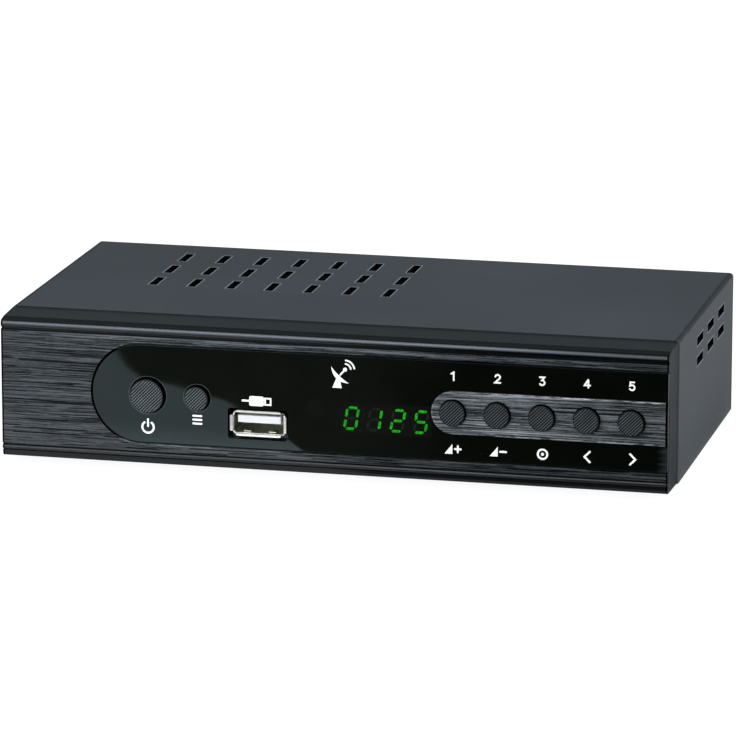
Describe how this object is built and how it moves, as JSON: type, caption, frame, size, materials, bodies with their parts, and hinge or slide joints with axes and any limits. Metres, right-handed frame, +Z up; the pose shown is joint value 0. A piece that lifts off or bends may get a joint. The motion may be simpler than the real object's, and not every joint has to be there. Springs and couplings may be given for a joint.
{
  "type": "satellite tv receiver",
  "caption": "Low rectangular set-top box: steel case with vent slots, brushed front with a glossy black display panel, round push keys and a USB socket, sockets at the rear.",
  "frame": {"origin": "middle of the bounding box, on the plane the rubber feet stand on", "axes": "+X to the right seen from the front, +Y to the rear, so the front faces -Y, +Z up"},
  "size_m": [0.17, 0.1032, 0.0379],
  "materials": {
    "case_paint": "fine powder coat",
    "tray_steel": "fine powder coat",
    "fascia_plastic": "brushed-look moulding, satin",
    "lens_black": "polished",
    "strip_brushed": "brushed-look film, satin",
    "key_plastic": "fine knurl",
    "plunger_plastic": "moulded",
    "black_plastic": "moulded",
    "white_plastic": "moulded",
    "orange_plastic": "moulded",
    "board_laminate": "solder mask, satin",
    "display_epoxy": "potted, smooth",
    "nickel": "nickel plated",
    "tinned_steel": "tinned, satin",
    "zinc_steel": "zinc plated",
    "black_steel": "black oxide",
    "gold_contact": "gold flash",
    "chip_epoxy": "moulded epoxy",
    "heat_sink_aluminium": "anodised",
    "capacitor_sleeve": "shrink sleeve",
    "ferrite": "sintered",
    "foot_rubber": "matt"
  },
  "bodies": {
    "case": {"top_cover": "case_paint", "bottom_tray": "tray_steel", "front_fascia": "fascia_plastic", "display_lens": "lens_black", "button_trim_strip": "strip_brushed", "switch_bodies": "black_plastic", "front_board": "board_laminate", "front_board_screws": "zinc_steel", "display_module": "display_epoxy", "infrared_receiver": "black_plastic", "usb_shell": "nickel", "usb_tongue": "white_plastic", "usb_contacts": "gold_contact", "main_board": "board_laminate", "board_standoffs": "zinc_steel", "board_screws": "zinc_steel", "board_link_header": "black_plastic", "board_link_pins": "gold_contact", "main_processor": "chip_epoxy", "heat_sink": "heat_sink_aluminium", "memory_chips": "chip_epoxy", "electrolytic_capacitors": "capacitor_sleeve", "power_inductors": "ferrite", "clock_crystal": "nickel", "tuner_frame": "tinned_steel", "tuner_lid": "tinned_steel", "lnb_in_connector": "nickel", "lnb_loop_connector": "nickel", "f_nuts": "nickel", "f_insulators": "white_plastic", "f_contacts": "gold_contact", "hdmi_shell": "nickel", "hdmi_tongue": "black_plastic", "hdmi_contacts": "gold_contact", "av_jack": "black_plastic", "coax_audio_block": "orange_plastic", "coax_audio_barrel": "nickel", "coax_audio_insulator": "white_plastic", "dc_inlet": "black_plastic", "dc_inlet_pin": "nickel", "cover_screws": "black_steel", "rubber_feet": "foot_rubber"},
    "power_button": {"power_key": "key_plastic", "power_switch_plunger": "plunger_plastic"},
    "menu_button": {"menu_key": "key_plastic", "menu_switch_plunger": "plunger_plastic"},
    "plus_button": {"plus_key": "key_plastic", "plus_switch_plunger": "plunger_plastic"},
    "minus_button": {"minus_key": "key_plastic", "minus_switch_plunger": "plunger_plastic"},
    "ok_button": {"ok_key": "key_plastic", "ok_switch_plunger": "plunger_plastic"},
    "left_button": {"left_key": "key_plastic", "left_switch_plunger": "plunger_plastic"},
    "right_button": {"right_key": "key_plastic", "right_switch_plunger": "plunger_plastic"}
  },
  "joints": [
    {"name": "power_push", "type": "slide", "parent": "case", "child": "power_button", "axis": [0, 1, 0], "range_m": [0, 0.0005], "stiffness_N_per_m": 3000},
    {"name": "menu_push", "type": "slide", "parent": "case", "child": "menu_button", "axis": [0, 1, 0], "range_m": [0, 0.0005], "stiffness_N_per_m": 3000},
    {"name": "plus_push", "type": "slide", "parent": "case", "child": "plus_button", "axis": [0, 1, 0], "range_m": [0, 0.0005], "stiffness_N_per_m": 3000},
    {"name": "minus_push", "type": "slide", "parent": "case", "child": "minus_button", "axis": [0, 1, 0], "range_m": [0, 0.0005], "stiffness_N_per_m": 3000},
    {"name": "ok_push", "type": "slide", "parent": "case", "child": "ok_button", "axis": [0, 1, 0], "range_m": [0, 0.0005], "stiffness_N_per_m": 3000},
    {"name": "left_push", "type": "slide", "parent": "case", "child": "left_button", "axis": [0, 1, 0], "range_m": [0, 0.0005], "stiffness_N_per_m": 3000},
    {"name": "right_push", "type": "slide", "parent": "case", "child": "right_button", "axis": [0, 1, 0], "range_m": [0, 0.0005], "stiffness_N_per_m": 3000}
  ]
}
